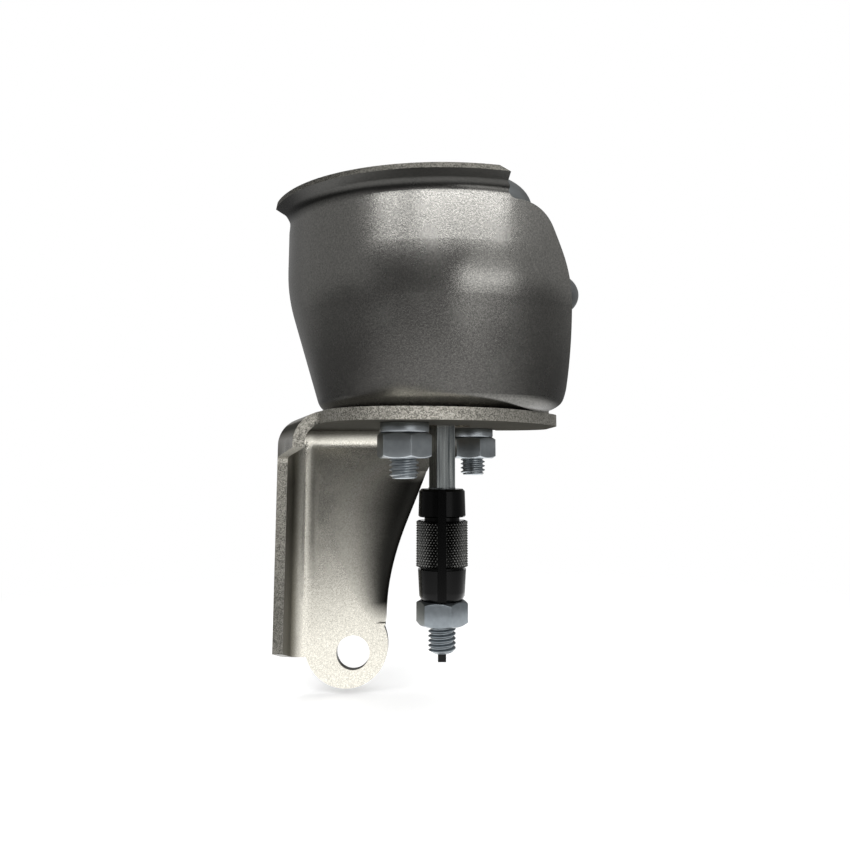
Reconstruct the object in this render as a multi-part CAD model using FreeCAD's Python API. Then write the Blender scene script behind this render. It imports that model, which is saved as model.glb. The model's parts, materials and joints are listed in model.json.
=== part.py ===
"""Vacuum actuator for a turbocharger's wastegate or guide vanes, with its heat shield and bracket.

Millimetres, +Z up along the actuator rod. Pieces are drawn about the rod's axis, with z = 0 on the bracket
plate's upper face, and exportPiece moves them so that the origin is the centre of the bracket's fixing hole
on the leg's rear face.
"""
import FreeCAD, Part
import math
import os

V = FreeCAD.Vector
X, Y, Z = V(1, 0, 0), V(0, 1, 0), V(0, 0, 1)
CENTRE = V(0, 0, 0)

# ---- fits ----------------------------------------------------------------------------------------
RUNNING = 0.05          # radial play of a shaft in its bore
LOOSE = 0.30            # play between neighbours that don't bear on each other
BOLT_PLAY = 0.30        # radial play of a clearance hole round a stud

# ---- M6 fasteners --------------------------------------------------------------------------------
M6_R = 3.0
M6_NUT_FLATS = 10.0
M6_NUT_HEIGHT = 5.2
M6_CHAMFER = 0.9
WASHER_R = 5.0
WASHER_THICK = 2.0

# ---- bracket: plate, leg and side flange pressed from one sheet ----------------------------------
SHEET = 2.5
PLATE_FRONT = ((26.1, 3.0), (22.9, -8.0), (16.1, -20.5), (7.0, -29.3), (-3.0, -33.0), (-12.5, -32.6),
               (-19.7, -27.6), (-23.4, -21.5), (-24.9, -16.6))    # free front edge in plan, right to left
PLATE_CORNER_R = 10.0
SIDE_CORNER_R = 2.0     # where the front edge meets the side's cut end
RELIEF_R = 3.0          # round-ended notch between the flat plate and the leg's bend
RELIEF_X = 10.95
BRACKET_LEFT_X = -40.1
LEG_FRONT_Y = 28.8
PLATE_BACK_Y = LEG_FRONT_Y + 0.8
SIDE_END_Y = -16.6      # the bent side starts here
SIDE_FRONT_LEFT = (-45.0, -22.4)    # the side slants in toward the front, through this (depth, X)
SIDE_LIP_Z = (-7.4, -9.4)           # its lower edge in front of the flange, front and back
FLANGE_FRONT_Y = 15.7
FLANGE_FOOT_Z = -55.5
FLANGE_FOOT_DROP = 3.7  # its lower edge slopes down to the leg
SIDE_BEND_R = 6.5       # outer bend from plate to side flange
BACK_BEND_R = 7.0       # outer bend from plate and flange into the leg
CORNER_R_BACK = BACK_BEND_R + 0.6    # the side's bend where it meets the leg
EAR_R = 10.5
FIXING_HOLE_R = 4.2     # clearance for an M8 bolt
FIXING_HOLE = (-22.4, -58.1)
EAR_CENTRE = (FIXING_HOLE[0] - 1.7, FIXING_HOLE[1] + 1.9)
LEG_EDGE_TOP = (8.0, -1.0)
LEG_EDGE = ((-1.2, -8.0), (-6.2, -18.7), (-10.1, -28.4), (-13.0, -38.0), (-14.3, -51.5))
LIP_DEPTH = 7.0         # the leg's free edge is turned back by this much
LIP_BEND_R = 3.4
LIP_FOOT_Z = -51.0
LIP_TOP_Z = -13.0
ROD_HOLE_R = 6.5

# ---- heat shield, a drawn cup with one side scooped out ------------------------------------------
SHIELD_SHEET = 0.9
SHIELD_FLOOR_BEND = 4.0
SHIELD_WALL_R = 35.0
SHIELD_FLOOR_R = SHIELD_WALL_R - 8.0    # where floor and cone would meet
SHIELD_CONE_TOP = 26.4
SHIELD_CONE_BEND = 35.0
SHIELD_NECK_Z = 42.75
SHIELD_NECK_BEND = 2.4
RIM_R = SHIELD_WALL_R + 3.3
RIM_SLOPE = 0.5         # rise of the flared rim per millimetre outward
SCOOP_ANGLE = 244.0     # the wall that is left is centred on this side
SCOOP_EDGE = ((29.2, 46.0), (23.6, 42.6), (23.6, 40.4), (16.9, 40.4), (-3.8, 3.0), (2.5, -0.9))
SCOOP_BENDS = (3.0, 1.0, 1.55, 8.4, 3.0)
SHIELD_DISC_R = SHIELD_FLOOR_R - 3.0    # the floor stays whole inside this

# ---- canister, two pressed cans crimped together on the diaphragm --------------------------------
CAN_SHEET = 1.2
CAN_R = 26.0            # lower can at its floor
CAN_FLOOR_BEND = 2.2
CAN_MOUTH_R = CAN_R + 1.0
CRIMP_Z = 26.7          # middle of the crimp
CRIMP_ROUND = 3.1
CRIMP_R = CAN_R + 5.1
CRIMP_LIP_R = CAN_R + 0.5
DIAPHRAGM_BEAD = 2.6
UPPER_SHEET = 1.0
UPPER_NECK_R = CAN_R - 0.9
UPPER_TOP_R = CAN_R - 5.0
UPPER_TOP_Z = 52.2
UPPER_SHOULDER = 5.0
STUD_CIRCLE_R = CAN_R - 5.4
STUD_ANGLE = 68.3       # the two studs lie on a line at this angle from +X
STUD_REACH = 4.0        # thread showing below the nut
STUD_HEAD_R = 3.4
STUD_HEAD_HEIGHT = 1.4
STUD_NUT_TURN = -13.5   # turn of the hexagons about Z

# ---- vacuum nipple on the open side of the upper can ---------------------------------------------
NIPPLE_R = 2.5
NIPPLE_BORE_R = 1.5
NIPPLE_COLLAR_R = 3.3
NIPPLE_LENGTH = 19.0    # from the can's wall
NIPPLE_GRIP = 13.0      # plain length under the hose
NIPPLE_CHAMFER = 0.5

# ---- moving parts --------------------------------------------------------------------------------
STROKE = 11.0           # the piston's travel toward the upper can
ROD_R = 3.1
ROD_FLATS = 4.5
ROD_TWIST = 23.5        # the flats are turned by this about the axis
SPIGOT_R = 2.2
BUSH_R = 5.5
BUSH_FLANGE_R = 8.0
BUSH_FLANGE = 1.5
BUSH_TOP_Z = 7.0
WIPER_R = 4.7
WIPER_HEIGHT = 1.6
CLAMP_PLATE_R = CAN_R - 8.5
CLAMP_PLATE = 1.5
CLAMP_HUB_R = 4.0
DIAPHRAGM = 0.8
CUP_R = CAN_R - 6.0
CUP_SHEET = 1.0
CUP_HEIGHT = 12.0
CUP_BEND = 2.5
PISTON_FLOOR_Z = 8.0    # underside of the clamping plate at rest
CUP_FLOOR_Z = PISTON_FLOOR_Z + CLAMP_PLATE + DIAPHRAGM + 2 * LOOSE
UPPER_NECK_TOP_Z = CUP_FLOOR_Z + CUP_HEIGHT + STROKE + 1.7
NIPPLE_Z = UPPER_NECK_TOP_Z + 9.4
SPRING_WIRE_R = 1.3
SPRING_R = CAN_R - 11.5
SPRING_TURNS = 6.5
SEAT_R = SPRING_R + SPRING_WIRE_R + 0.1
SEAT_SHEET = 0.8
SEAT_RIM = 4.0

# ---- adjuster at the rod's end -------------------------------------------------------------------
SLEEVE_TOP_Z = -16.4
COLLAR_R = 5.25
COLLAR_TOP_R = 5.1
COLLAR_HEIGHT = 6.1
GROOVE_R = 3.9
GROOVE = 0.8
KNURL_R = 5.8
KNURL_TOP_R = 5.65
KNURL_HEIGHT = 10.0
LOWER_GROOVE_R = 4.75
LOWER_GROOVE = 0.45
TAIL_R = 5.3
TAIL_END_R = 5.0
TAIL_HEIGHT = 6.7
SLOT_WIDTH = 1.9
SLOT_FLOOR_R = 4.2
STRIP_PLAY = 0.06
STRIP_THICK = 0.75
NIB_HEIGHT = 1.2
NIB_DROP = 7.0          # below the sleeve's top
NECK_GROOVE_R = 2.3     # ring groove in the rod for the nib
ROD_IN_SLEEVE = 10.6
STUD_IN_SLEEVE = 10.0
END_STUD_REACH = 5.85   # thread showing below the lock nut
END_STUD_POINT = (1.9, 0.6)     # end radius and length of the pointed end
RUNOUT = (2.75, 0.7)    # groove at the thread's upper end: radius, and how far it reaches below the nut
TIP_SIDE = 1.8
TIP_REACH = 1.85
TIP_DEPTH = 3.0
LOCK_NUT_TURN = -10.0

SLEEVE_FOOT_Z = SLEEVE_TOP_Z - COLLAR_HEIGHT - GROOVE - KNURL_HEIGHT - LOWER_GROOVE - TAIL_HEIGHT
LOCK_NUT_FOOT_Z = SLEEVE_FOOT_Z - M6_NUT_HEIGHT
NUT_TOP_Z = -SHEET - WASHER_THICK
FIXING_CENTRE = V(FIXING_HOLE[0], LEG_FRONT_Y + SHEET, FIXING_HOLE[1])


# ---- drawing helpers -----------------------------------------------------------------------------
def cylinder(radius, low, high, at=CENTRE):
    return Part.makeCylinder(radius, high - low, at + Z * low)


def tube(outer, inner, low, high, at=CENTRE):
    return cylinder(outer, low, high, at).cut(cylinder(inner, low - 1, high + 1, at))


def box(x, y, z):
    """A box from three (low, high) pairs."""
    return Part.makeBox(x[1] - x[0], y[1] - y[0], z[1] - z[0], V(x[0], y[0], z[0]))


def prism(points, direction):
    wire = Part.makePolygon(points + [points[0]])
    return Part.Face(wire).extrude(direction)


def fuse(pieces):
    whole = pieces[0].multiFuse(pieces[1:]) if len(pieces) > 1 else pieces[0]
    return whole.removeSplitter()


def onPlane(radius, height):
    return V(radius, 0, height)


def pathEdges(points, bends, flats=False):
    """Straight runs through the points, each inner corner an arc of its bend radius or two flats along it."""
    corners = [onPlane(*point) for point in points]
    edges, start = [], corners[0]
    for before, corner, after, bend in zip(corners, corners[1:], corners[2:], bends):
        back, ahead = (before - corner).normalize(), (after - corner).normalize()
        half = back.getAngle(ahead) / 2
        reach = bend / math.tan(half)
        middle = (back + ahead).normalize()
        first, last = corner + back * reach, corner + ahead * reach
        crown = corner + middle * (bend / math.sin(half) - bend)
        if (first - start).Length > 1e-6:
            edges.append(Part.makeLine(start, first))
        if flats:
            edges += [Part.makeLine(first, crown), Part.makeLine(crown, last)]
        else:
            edges.append(Part.Arc(first, crown, last).toShape())
        start = last
    edges.append(Part.makeLine(start, corners[-1]))
    return edges


def offsetPoints(points, gap):
    """The polyline's parallel at gap on the left of its direction."""
    vectors = [V(x, y, 0) for x, y in points]
    normals = []
    for a, b in zip(vectors, vectors[1:]):
        run = (b - a).normalize()
        normals.append(V(-run.y, run.x, 0))
    moved = [vectors[0] + normals[0] * gap]
    for corner, n1, n2 in zip(vectors[1:-1], normals, normals[1:]):
        moved.append(corner + (n1 + n2) * (gap / (1 + n1.dot(n2))))
    moved.append(vectors[-1] + normals[-1] * gap)
    return [(m.x, m.y) for m in moved]


def turnsLeft(a, b, c):
    return (b[0] - a[0]) * (c[1] - b[1]) - (b[1] - a[1]) * (c[0] - b[0]) > 0


def pressedSheet(points, bends, thickness, flat_outside=False, flat_inside=False):
    """Revolves a sheet whose outer face is the path and whose thickness lies on the path's left.

    Bends that stay out of sight are drawn as flats, which keeps the facet count down.
    """
    turns = [turnsLeft(a, b, c) for a, b, c in zip(points, points[1:], points[2:])]
    inner_bends = [bend - thickness if left else bend + thickness for bend, left in zip(bends, turns)]
    inner_points = offsetPoints(points, thickness)
    outer = pathEdges(points, bends, flat_outside)
    inner = pathEdges(inner_points, inner_bends, flat_inside)
    ends = [Part.makeLine(onPlane(*points[i]), onPlane(*inner_points[i])) for i in (0, -1)]
    wire = Part.Wire(Part.__sortEdges__(outer + inner + ends))
    return Part.Face(wire).revolve(CENTRE, Z, 360)


def turned(points):
    """Revolves a closed outline of (radius, height) points."""
    wire = Part.makePolygon([onPlane(*p) for p in points + [points[0]]])
    return Part.Face(wire).revolve(CENTRE, Z, 360)


def hexNut(flats, height, bore, low, turn, at=CENTRE):
    """A hexagon nut with both ends chamfered by a cone and its thread drawn as a plain bore."""
    corner = flats / math.sqrt(3)
    angles = [math.radians(60 * i + turn) for i in range(6)]
    ring = [V(corner * math.cos(a), corner * math.sin(a), low) for a in angles]
    body = prism(ring, Z * height)
    flat, drop = flats / 2 * 0.95, (corner - flats / 2 * 0.95) * math.tan(math.radians(30))
    top = low + height
    envelope = turned([(0, low), (flat, low), (corner, low + drop), (corner, top - drop), (flat, top),
                       (0, top)])
    mouth = 0.4
    hole = turned([(0, low - 1), (bore + mouth + 1, low - 1), (bore, low + mouth), (bore, top - mouth),
                   (bore + mouth + 1, top + 1), (0, top + 1)])
    return body.common(envelope).cut(hole).translated(at)


def studPlaces():
    angle = math.radians(STUD_ANGLE)
    reach = V(math.cos(angle), math.sin(angle), 0) * STUD_CIRCLE_R
    return [reach * -1, reach]


def exportPiece(name, solids):
    group = Part.makeCompound(solids) if len(solids) > 1 else solids[0]
    group.translated(FIXING_CENTRE * -1).exportStep("parts/" + name + ".step")


# ---- bracket -------------------------------------------------------------------------------------
def bendSection(left, top, radius, depth):
    """Plate and side flange in section at one depth: a corner of the given radius, open right and below."""
    right, foot = 50.0, -80.0
    turn = math.radians(45)
    mid = V(left + radius * (1 - math.cos(turn)), depth, top - radius * (1 - math.sin(turn)))
    a, b = V(left, depth, top - radius), V(left + radius, depth, top)
    corners = [b, V(right, depth, top), V(right, depth, foot), V(left, depth, foot), a]
    edges = [Part.makeLine(p, q) for p, q in zip(corners, corners[1:])]
    return Part.Wire([Part.Arc(a, mid, b).toShape()] + edges)


def bracketBlock(inset):
    """The space inside the bracket's outer faces, shrunk by inset on the plate, flange and leg."""
    back = LEG_FRONT_Y + SHEET - inset
    stations = [SIDE_FRONT_LEFT + (SIDE_BEND_R,), (FLANGE_FRONT_Y, BRACKET_LEFT_X, SIDE_BEND_R),
                (back, BRACKET_LEFT_X, CORNER_R_BACK)]
    sections = [bendSection(left + inset, -inset, radius - inset, depth) for depth, left, radius in stations]
    block = Part.makeLoft(sections, True, True)
    rear = [e for e in block.Edges if e.BoundBox.YMin > back - 1e-4]
    bent = [e for e in rear if e.BoundBox.XMin < 49 and e.BoundBox.ZMax > -79]
    return block.makeFillet(BACK_BEND_R - inset, bent)


def plateOutline(low, high):
    """The plate in plan, with the side's cut end along its left."""
    front = Part.BSplineCurve()
    front.interpolate([V(x, y, low) for x, y in PLATE_FRONT], InitialTangent=Y * -1,
                      FinalTangent=V(-0.15, 1, 0))
    right, end = front.StartPoint, front.EndPoint
    corners = [end, V(-60, SIDE_END_Y, low), V(-60, PLATE_BACK_Y, low), V(right.x, PLATE_BACK_Y, low), right]
    lines = [Part.makeLine(p, q) for p, q in zip(corners, corners[1:])]
    blank = Part.Face(Part.Wire(Part.__sortEdges__([front.toShape()] + lines))).extrude(Z * (high - low))
    upright = [e for e in blank.Edges if abs(e.tangentAt(e.FirstParameter).z) > 0.99]
    corner = V(right.x, PLATE_BACK_Y, 0)
    right_back = [e for e in upright if math.dist(e.CenterOfMass[:2], corner[:2]) < 0.1]
    left_front = [e for e in upright if math.dist(e.CenterOfMass[:2], end[:2]) < 0.1]
    return blank.makeFillet(PLATE_CORNER_R, right_back).makeFillet(SIDE_CORNER_R, left_front)


def sideOutline():
    """Side view of the bent side: a shallow lip, then the tall flange and the leg."""
    rear = LEG_FRONT_Y + SHEET + 1
    low = FLANGE_FOOT_Z - FLANGE_FOOT_DROP
    points = [(SIDE_END_Y, 2), (SIDE_END_Y, SIDE_LIP_Z[0]), (FLANGE_FRONT_Y, SIDE_LIP_Z[1]),
              (FLANGE_FRONT_Y, FLANGE_FOOT_Z), (LEG_FRONT_Y, low), (rear, low), (rear, 2)]
    side = prism([V(-60, y, z) for y, z in points], X * 80)
    inner = [e for e in side.Edges if abs(e.CenterOfMass.y - FLANGE_FRONT_Y) < 0.01
             and abs(e.CenterOfMass.z - SIDE_LIP_Z[1]) < 0.01]
    return side.makeFillet(SIDE_CORNER_R, inner)


def legEdgeCurve(shift=0.0):
    """The leg's free edge, from the plate down to the ear."""
    points = [V(x - shift, 0, z) for x, z in (LEG_EDGE_TOP,) + LEG_EDGE]
    curve = Part.BSplineCurve()
    curve.interpolate(points)
    return curve.toShape()


def legOutline(shift, low, near, far):
    """Everything on the left of the leg's free edge, between two depths."""
    edge = legEdgeCurve(shift)
    top, foot = edge.Vertexes[0].Point, edge.Vertexes[-1].Point
    corners = [foot, V(EAR_CENTRE[0], 0, foot.z), V(EAR_CENTRE[0], 0, low), V(-60, 0, low), V(-60, 0, 5),
               V(top.x, 0, 5), top]
    lines = [Part.makeLine(p, q) for p, q in zip(corners, corners[1:]) if (p - q).Length > 1e-6]
    face = Part.Face(Part.Wire(Part.__sortEdges__([edge] + lines)))
    return face.translated(Y * near).extrude(Y * (far - near))


def ear(near, far):
    return Part.makeCylinder(EAR_R, far - near, V(EAR_CENTRE[0], near, EAR_CENTRE[1]), Y)


def edgeRoll(inset):
    """The leg and its free edge turned back, as one rounded block shrunk by inset."""
    near = LEG_FRONT_Y + inset
    block = legOutline(inset, FLANGE_FOOT_Z, near, LEG_FRONT_Y + LIP_DEPTH + inset)
    front = [e for e in block.Edges if e.BoundBox.YMax < near + 1e-3]
    free = [e for e in front if e.Curve.TypeId.endswith("BSplineCurve")]
    return block.makeFillet(LIP_BEND_R - inset, free)


def lipReach():
    """Side view of the turned-back edge: full depth, fading out toward the plate."""
    near, far = LEG_FRONT_Y - 1, LEG_FRONT_Y + LIP_DEPTH
    side = [V(-28, near, LIP_FOOT_Z), V(-28, far - 1.5, LIP_FOOT_Z), V(-28, far, LIP_FOOT_Z + 1.5),
            V(-28, far, LIP_TOP_Z - 12), V(-28, LEG_FRONT_Y + SHEET, LIP_TOP_Z), V(-28, near, LIP_TOP_Z)]
    return prism(side, X * 60)


def bracket():
    shell = bracketBlock(0).cut(bracketBlock(SHEET))
    rear = LEG_FRONT_Y + SHEET
    bent = sideOutline().common(legOutline(0, -80, SIDE_END_Y - 5, rear + 2))
    left = box((-60, RELIEF_X), (-50, rear + 5), (-10, 5))
    sheet = shell.common(fuse([bent, plateOutline(-SHEET - 0.8, 1).common(left)]))
    flat = plateOutline(-SHEET, 0).cut(left)
    notch = cylinder(RELIEF_R, -10, 1, V(RELIEF_X, PLATE_BACK_Y - 2.3, 0)).fuse(
        box((RELIEF_X - RELIEF_R, RELIEF_X + RELIEF_R), (PLATE_BACK_Y - 2.3, rear + 5), (-10, 1)))
    sheet = fuse([sheet, flat, ear(LEG_FRONT_Y, rear)]).cut(notch)
    roll = edgeRoll(0)
    corner = legOutline(0, FLANGE_FOOT_Z, LEG_FRONT_Y - 1, LEG_FRONT_Y + LIP_BEND_R).cut(roll).cut(
        box((-60, 60), (0, LEG_FRONT_Y), (-80, 10)))
    reach = lipReach()
    lip = roll.cut(edgeRoll(SHEET)).common(reach)
    body = sheet.cut(corner.common(reach)).fuse(lip).removeSplitter()
    holes = [cylinder(ROD_HOLE_R, -SHEET - 1, 1)]
    holes += [cylinder(M6_R + BOLT_PLAY, -SHEET - 1, 1, place) for place in studPlaces()]
    holes.append(Part.makeCylinder(FIXING_HOLE_R, SHEET + 2, FIXING_CENTRE - Y * (SHEET + 1), Y))
    for hole in holes:
        body = body.cut(hole)
    return body


# ---- heat shield ---------------------------------------------------------------------------------
def scoopCutter():
    """Everything on the open side of the cut edge, drawn in the plane the wall is symmetrical about."""
    above = 60.0
    path = ((SCOOP_EDGE[0][0], above),) + SCOOP_EDGE
    edges = pathEdges(list(path), list(SCOOP_BENDS))
    corners = [onPlane(*path[-1]), onPlane(-above, path[-1][1]), onPlane(-above, above), onPlane(*path[0])]
    edges += [Part.makeLine(p, q) for p, q in zip(corners, corners[1:])]
    cutter = Part.Face(Part.Wire(Part.__sortEdges__(edges))).translated(Y * -above).extrude(Y * 2 * above)
    cutter.rotate(CENTRE, Z, SCOOP_ANGLE)
    return cutter.cut(cylinder(SHIELD_DISC_R, -5, SHIELD_SHEET))


def heatShield():
    """Drawn cup with a flared rim, cut away to a half shell above its floor."""
    reach = RIM_R + 2
    outside = [(ROD_HOLE_R, 0), (SHIELD_FLOOR_R, 0), (SHIELD_WALL_R, SHIELD_CONE_TOP),
               (SHIELD_WALL_R, SHIELD_NECK_Z), (reach, SHIELD_NECK_Z + (reach - SHIELD_WALL_R) * RIM_SLOPE)]
    cup = pressedSheet(outside, [SHIELD_FLOOR_BEND, SHIELD_CONE_BEND, SHIELD_NECK_BEND], SHIELD_SHEET)
    cup = cup.common(cylinder(RIM_R, -1, 60)).cut(scoopCutter())
    for place in studPlaces():
        cup = cup.cut(cylinder(M6_R + BOLT_PLAY, -1, SHIELD_SHEET + 1, place))
    return cup


# ---- canister ------------------------------------------------------------------------------------
def lowerCan():
    """Pressed can whose mouth is flanged and rolled over the upper can's flange."""
    floor = SHIELD_SHEET
    flange = CRIMP_Z - CRIMP_ROUND
    outside = [(BUSH_R, floor), (CAN_R, floor), (CAN_MOUTH_R, flange), (CRIMP_R - CRIMP_ROUND, flange)]
    can = pressedSheet(outside, [CAN_FLOOR_BEND, 1.0], CAN_SHEET, flat_outside=True, flat_inside=True)
    centre_r = CRIMP_R - CRIMP_ROUND
    inner = CRIMP_ROUND - CAN_SHEET
    roll = [Part.Arc(onPlane(centre_r, CRIMP_Z - CRIMP_ROUND), onPlane(CRIMP_R, CRIMP_Z),
                     onPlane(centre_r, CRIMP_Z + CRIMP_ROUND)).toShape()]
    turns = [math.radians(45 * step) for step in range(5)]
    hollow = [onPlane(centre_r + inner * math.sin(t), CRIMP_Z - inner * math.cos(t)) for t in turns]
    roll += [Part.makeLine(p, q) for p, q in zip(hollow, hollow[1:])]
    foot = Part.makeLine(onPlane(centre_r, CRIMP_Z - CRIMP_ROUND), onPlane(centre_r, CRIMP_Z - inner))
    lip = [onPlane(centre_r, CRIMP_Z + inner), onPlane(CRIMP_LIP_R, CRIMP_Z + inner),
           onPlane(CRIMP_LIP_R, CRIMP_Z + CRIMP_ROUND), onPlane(centre_r, CRIMP_Z + CRIMP_ROUND)]
    edges = roll + [foot] + [Part.makeLine(p, q) for p, q in zip(lip, lip[1:])]
    rolled = Part.Face(Part.Wire(Part.__sortEdges__(edges))).revolve(CENTRE, Z, 360)
    can = can.fuse(rolled).removeSplitter()
    for place in studPlaces():
        can = can.cut(cylinder(M6_R, floor - 1, floor + CAN_SHEET + 1, place))
    return can


def upperCan():
    """Bell-shaped can over the spring, with a hole for the nipple."""
    flange_top = CRIMP_Z + CRIMP_ROUND - CAN_SHEET
    flange_r = CRIMP_R - CRIMP_ROUND - 0.1
    outside = [(flange_r, flange_top), (UPPER_NECK_R, flange_top), (UPPER_NECK_R, UPPER_NECK_TOP_Z),
               (UPPER_TOP_R, UPPER_NECK_TOP_Z + 5.0), (UPPER_TOP_R, UPPER_TOP_Z), (0, UPPER_TOP_Z)]
    can = pressedSheet(outside, [1.4, 5.0, 3.0, UPPER_SHOULDER], UPPER_SHEET, flat_inside=True)
    return can.cut(toNipple(cylinder(NIPPLE_R, UPPER_TOP_R - 6, UPPER_TOP_R + 6)))


def toNipple(shape):
    """Lays a shape drawn about +Z along the nipple's centre line."""
    shape.rotate(CENTRE, Y, 90)
    shape.rotate(CENTRE, Z, SCOOP_ANGLE - 180)
    return shape.translated(Z * NIPPLE_Z)


def vacuumNipple():
    """Straight pipe with a collar seated on the can's wall."""
    inside = UPPER_TOP_R - UPPER_SHEET - 0.8
    mouth = UPPER_TOP_R + NIPPLE_LENGTH
    grip = mouth - NIPPLE_GRIP
    pipe = toNipple(turned([(NIPPLE_BORE_R, inside), (NIPPLE_R, inside), (NIPPLE_R, mouth - NIPPLE_CHAMFER),
                            (NIPPLE_R - NIPPLE_CHAMFER, mouth), (NIPPLE_BORE_R, mouth)]))
    collar = toNipple(turned([(NIPPLE_BORE_R + 0.5, UPPER_TOP_R - 2), (NIPPLE_COLLAR_R, UPPER_TOP_R - 2),
                              (NIPPLE_COLLAR_R, grip), (NIPPLE_BORE_R + 0.5, grip)]))
    return fuse([pipe, collar.cut(cylinder(UPPER_TOP_R, NIPPLE_Z - 8, NIPPLE_Z + 8))])


def mountingStuds():
    """Studs pressed into the can's floor, their flat heads inside."""
    seat = SHIELD_SHEET + CAN_SHEET
    foot = NUT_TOP_Z - M6_NUT_HEIGHT - STUD_REACH
    shape = turned([(0, foot), (M6_R - M6_CHAMFER, foot), (M6_R, foot + M6_CHAMFER), (M6_R, seat),
                    (STUD_HEAD_R, seat), (STUD_HEAD_R, seat + STUD_HEAD_HEIGHT),
                    (0, seat + STUD_HEAD_HEIGHT)])
    return [shape.translated(place) for place in studPlaces()]


def studWashers():
    """Spring lock washers, split on one side."""
    washers = []
    for place in studPlaces():
        ring = tube(WASHER_R, M6_R + BOLT_PLAY, NUT_TOP_Z, -SHEET, place)
        split = box((0, 10), (-0.4, 0.4), (NUT_TOP_Z - 1, 0))
        split.rotate(CENTRE, Z, 150)
        washers.append(ring.cut(split.translated(place)))
    return washers


def studNuts():
    low = NUT_TOP_Z - M6_NUT_HEIGHT
    return [hexNut(M6_NUT_FLATS, M6_NUT_HEIGHT, M6_R, low, STUD_NUT_TURN, place) for place in studPlaces()]


# ---- rod guide -----------------------------------------------------------------------------------
def guideBush():
    """Flanged bush pressed into the can's floor, with a recess for the wiper."""
    seat = SHIELD_SHEET + CAN_SHEET
    bore = ROD_R + RUNNING
    recess = BUSH_TOP_Z - WIPER_HEIGHT
    return turned([(bore, -SHEET + 0.5), (BUSH_R, -SHEET + 0.5), (BUSH_R, seat), (BUSH_FLANGE_R, seat),
                   (BUSH_FLANGE_R, seat + BUSH_FLANGE), (BUSH_R + 0.4, seat + BUSH_FLANGE),
                   (BUSH_R + 0.4, BUSH_TOP_Z), (WIPER_R, BUSH_TOP_Z), (WIPER_R, recess), (bore, recess)])


def rodWiper():
    bore = ROD_R + RUNNING
    low = BUSH_TOP_Z - WIPER_HEIGHT
    return turned([(bore, low), (WIPER_R, low), (WIPER_R, BUSH_TOP_Z), (bore + 0.6, BUSH_TOP_Z),
                   (bore, BUSH_TOP_Z - 0.5)])


def stopRing():
    """Rubber buffer on the bush's flange that the piston lands on."""
    seat = SHIELD_SHEET + CAN_SHEET + BUSH_FLANGE
    return turned([(BUSH_R + 0.4, seat), (BUSH_FLANGE_R + 0.6, seat), (BUSH_FLANGE_R + 0.6, seat + 2.4),
                   (BUSH_FLANGE_R - 0.2, PISTON_FLOOR_Z - LOOSE), (BUSH_R + 1.0, PISTON_FLOOR_Z - LOOSE),
                   (BUSH_R + 0.4, seat + 2.4)])


# ---- diaphragm and spring ------------------------------------------------------------------------
def diaphragm():
    """Rolling diaphragm: bead in the crimp, one convolution, then down and under the piston cup."""
    bead_low = CRIMP_Z - CRIMP_ROUND + CAN_SHEET
    bead_r = CRIMP_R - CRIMP_ROUND - 0.1
    wall_r = CUP_R + LOOSE + DIAPHRAGM
    roll_r = UPPER_NECK_R - UPPER_SHEET - LOOSE
    floor = PISTON_FLOOR_Z + CLAMP_PLATE + LOOSE
    crest = bead_low + DIAPHRAGM_BEAD + 1.2
    outside = [(CLAMP_HUB_R + LOOSE, floor), (wall_r, floor), (wall_r, crest), (roll_r, crest),
               (roll_r, bead_low)]
    bend = (roll_r - wall_r) / 2 - 0.05
    bends = [CUP_BEND + 0.9, bend, bend]
    web = pressedSheet(outside, bends, DIAPHRAGM, flat_outside=True, flat_inside=True)
    bead = tube(bead_r, roll_r - 0.2, bead_low, bead_low + DIAPHRAGM_BEAD)
    return web.fuse(bead).removeSplitter()


def returnSpring():
    """Compression spring with closed ends ground flat."""
    low = CUP_FLOOR_Z + CUP_SHEET + LOOSE
    high = UPPER_TOP_Z - UPPER_SHEET - SEAT_SHEET
    closed = 2 * SPRING_WIRE_R + 0.15
    rise = high - low - 2 * closed
    points, steps = [], 6
    for i in range(int(SPRING_TURNS * steps) + 1):
        turns = i / steps
        active = min(max((turns - 1) / (SPRING_TURNS - 2), 0), 1)
        z = low + closed * min(turns, 1) + closed * max(turns - SPRING_TURNS + 1, 0) + rise * active
        angle = 2 * math.pi * turns
        points.append(V(SPRING_R * math.cos(angle), SPRING_R * math.sin(angle), z))
    path = Part.BSplineCurve()
    path.interpolate(points)
    section = Part.Wire([Part.makeCircle(SPRING_WIRE_R, points[0], path.tangent(path.FirstParameter)[0])])
    coil = Part.Wire([path.toShape()]).makePipeShell([section], True, True)
    return coil.common(cylinder(SPRING_R + 5, low, high))


def upperSpringSeat():
    """Pressed ring that centres the spring under the can's top."""
    under = UPPER_TOP_Z - UPPER_SHEET
    return tube(SEAT_R, SPRING_R - 5, under - SEAT_SHEET, under).fuse(
        tube(SPRING_R - 5, SPRING_R - 5 - SEAT_SHEET, under - SEAT_RIM, under)).removeSplitter()


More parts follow.
